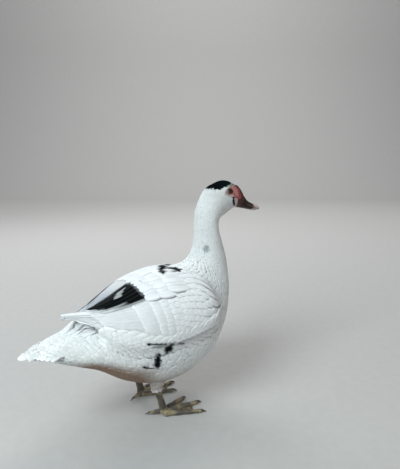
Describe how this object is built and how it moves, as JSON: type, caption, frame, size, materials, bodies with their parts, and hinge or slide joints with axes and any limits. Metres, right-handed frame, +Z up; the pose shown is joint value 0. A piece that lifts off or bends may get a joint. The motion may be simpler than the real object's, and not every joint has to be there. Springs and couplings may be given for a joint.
{
  "type": "muscovy duck model",
  "caption": "Life-size still model of a muscovy hen standing with her neck raised, white with black patches and a red face.",
  "frame": {"origin": "on the floor, under the middle of the model's box", "axes": "+X the way the bird faces, +Y her left, +Z up"},
  "size_m": [0.441, 0.1968, 0.3686],
  "materials": {
    "plumage": "soft white feathers with glossy black patches",
    "flight_feathers": "smooth white vanes, glossy greenish black on the inner ones",
    "bill": "satin horn, dark at the root, pinkish white at the tip",
    "eye": "wet gloss, brown iris, black pupil",
    "scaly_skin": "matt scaly skin",
    "claw": "satin dark horn"
  },
  "bodies": {
    "root": {"trunk": "plumage", "neck": "plumage", "head": "plumage", "bill_upper": "bill", "bill_lower": "bill", "tail": "flight_feathers", "eye_left": "eye", "eye_right": "eye", "wing_left": "flight_feathers", "wing_right": "flight_feathers", "thigh_left": "plumage", "thigh_right": "plumage", "shank_left": "scaly_skin", "shank_right": "scaly_skin", "foot_left": "scaly_skin", "foot_right": "scaly_skin", "claw_hind_left": "claw", "claw_inner_left": "claw", "claw_middle_left": "claw", "claw_outer_left": "claw", "claw_hind_right": "claw", "claw_inner_right": "claw", "claw_middle_right": "claw", "claw_outer_right": "claw"}
  },
  "joints": []
}
